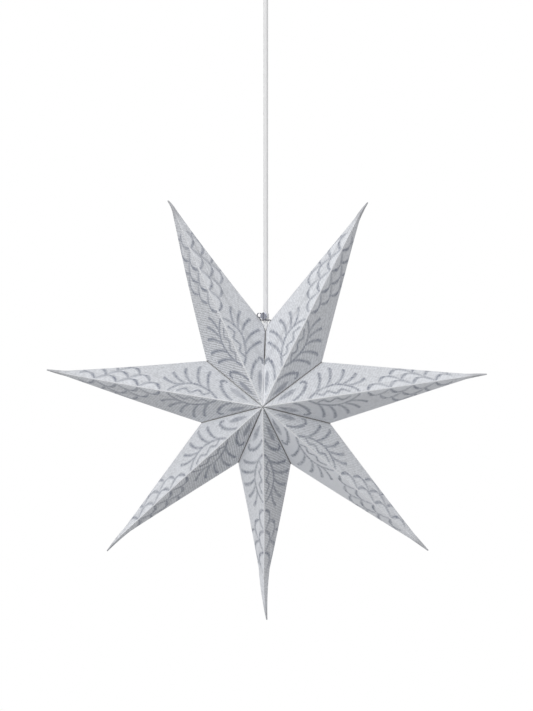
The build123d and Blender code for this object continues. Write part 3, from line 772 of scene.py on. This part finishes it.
def foldStar(plan):
    tree = foldTree(printedPaper(paperLook), plainPaper(paperLook))
    millimetre = 0.001
    last = len(plan["tips"]) - 1
    for number, tip in enumerate(plan["tips"]):
        opensLeft, opensRight = number == 0, number == last  # the closing seam is at the top
        end, meeting = plan["ends"][number], plan["meeting"][number]
        shoulder = meeting - end
        endHalf = end / plan["endTaper"]
        blunt = plan["tipHalf"] / endHalf  # share of the end's width that is left at the tip
        values = {
            "Tip angle": math.radians(tip), "Meeting radius": meeting,
            "Shoulder radius": shoulder, "Tip radius": plan["tipRadius"],
            "Sharp radius": (plan["tipRadius"] - blunt * shoulder) / (1.0 - blunt),
            "Left notch angle": math.radians(plan["notches"][number]),
            "Right notch angle": math.radians(plan["notches"][number + 1]),
            "Left notch radius": plan["notchRadii"][number],
            "Right notch radius": plan["notchRadii"][number + 1],
            "Left slit": plan["slit"] if opensLeft else 0.0,
            "Right slit": plan["slit"] if opensRight else 0.0,
            "Left cord room": plan["cordRoom"] if opensLeft else 0.0,
            "Right cord room": plan["cordRoom"] if opensRight else 0.0,
            "Lean": plan["lean"][number] * millimetre, "Curl": plan["curl"][number] * millimetre,
            "Curl front": plan["curlFront"][number] * millimetre,
            "Bow": plan["bow"][number] * millimetre,
            "Print shift": plan["printShift"][number] * millimetre, "Seed": float(number),
            # painted light and shade for each face, and rib strength that is partly painted grazing
            # shade
            "Left tone": plan["leftPaintedFaceLight"][number], "Right tone": plan["rightPaintedFaceLight"][number],
            "Left ribsAndGrazingShade": plan["leftRibsAndGrazingShade"][number], "Right ribsAndGrazingShade": plan["rightRibsAndGrazingShade"][number],
        }
        point = growPiece(f"paper_point_{number + 1}", tree, values)
        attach(point, "star")
        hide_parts(f"star_point_{number + 1}")
        print("paper point", number + 1, len(point.data.polygons), "faces")


foldStar(starPlan)
print("star folded")


# finishes of the solids that stay
metalLooks = {
    "nickel": {"colour": (0.58, 0.60, 0.69), "roughness": 0.14, "scratch": 0.12},
    "wire nickel": {"colour": (0.20, 0.20, 0.23), "roughness": 0.12, "scratch": 0.10},
    "steel": {"colour": (0.50, 0.50, 0.51), "roughness": 0.30, "scratch": 0.18},
    "brass": {"colour": (0.72, 0.52, 0.24), "roughness": 0.28, "scratch": 0.15},
}
metalWear = {"dull": 0.86, "cloudGrain": 160.0, "drawn": (2600.0, 2600.0, 160.0), "depth": 0.000004}
bodyLooks = {
    "white plastic": {"colour": (0.80, 0.80, 0.79), "roughness": 0.34, "speck": 1100.0},
    "clear plastic": {"colour": (0.72, 0.74, 0.74), "roughness": 0.22, "speck": 900.0},
    "porcelain": {"colour": (0.84, 0.82, 0.77), "roughness": 0.20, "speck": 500.0},
    "core insulation": {"colour": (0.20, 0.11, 0.06), "roughness": 0.42, "speck": 1500.0},
    "opal bulb": {"colour": (0.86, 0.86, 0.85), "roughness": 0.12, "speck": 300.0},
}
bodyWear = {"dull": 0.94, "cloudGrain": 40.0, "speckRoughness": 0.10, "depth": 0.00001}
finishOf = {
    "nickel": ["eyelets", "clasp_screw"],
    "wire nickel": ["star_hanger"],
    "steel": ["clamp_screws", "terminal_screws", "bulb_cap"],
    "brass": ["pole_screws", "screw_shell", "centre_contact", "bulb_contact"],
    "white plastic": ["ceiling_cup", "cup_gland", "gland_nut", "gland_screw", "suspension_eye",
                      "cord_clamp", "clasp_sleeve", "holder_gland", "holder_cap", "holder_sleeve",
                      "bulb_collar"],
    "clear plastic": ["terminal_block"],
    "porcelain": ["holder_core"],
    "core insulation": ["terminal_wires", "holder_wires"],
    "opal bulb": ["bulb_globe"],
}


def metalFinish(name, look):
    material, wire = newMaterial(name)
    place = objectPlace(wire)
    cloud = grain(wire, place, metalWear["cloudGrain"], detail=4.0)
    drawn = wire.node("ShaderNodeMapping", sockets={"Vector": place, "Scale": metalWear["drawn"]})
    scratch = grain(wire, drawn, 1.0, detail=2.0)
    dull = darker(look["colour"], metalWear["dull"])
    surface(wire, scratch, metalWear["depth"], Base_Color=cloud.blend(dull, (*look["colour"], 1)),
            Roughness=look["roughness"] + look["scratch"] * (scratch * cloud), Metallic=1.0)
    return material


def bodyFinish(name, look):
    material, wire = newMaterial(name)
    place = objectPlace(wire)
    cloud = grain(wire, place, bodyWear["cloudGrain"])
    speck = grain(wire, place, look["speck"], detail=2.0)
    dull = darker(look["colour"], bodyWear["dull"])
    surface(wire, speck, bodyWear["depth"], Base_Color=cloud.blend(dull, (*look["colour"], 1)),
            Roughness=look["roughness"] + bodyWear["speckRoughness"] * speck, IOR=1.5)
    return material


def finishSolids():
    made = {name: metalFinish(name, look) for name, look in metalLooks.items()}
    made.update({name: bodyFinish(name, look) for name, look in bodyLooks.items()})
    for finish, names in finishOf.items():
        for name in names:
            mesh = nodes[name].data
            mesh.materials.clear()
            mesh.materials.append(made[finish])


finishSolids()
print("solids finished")
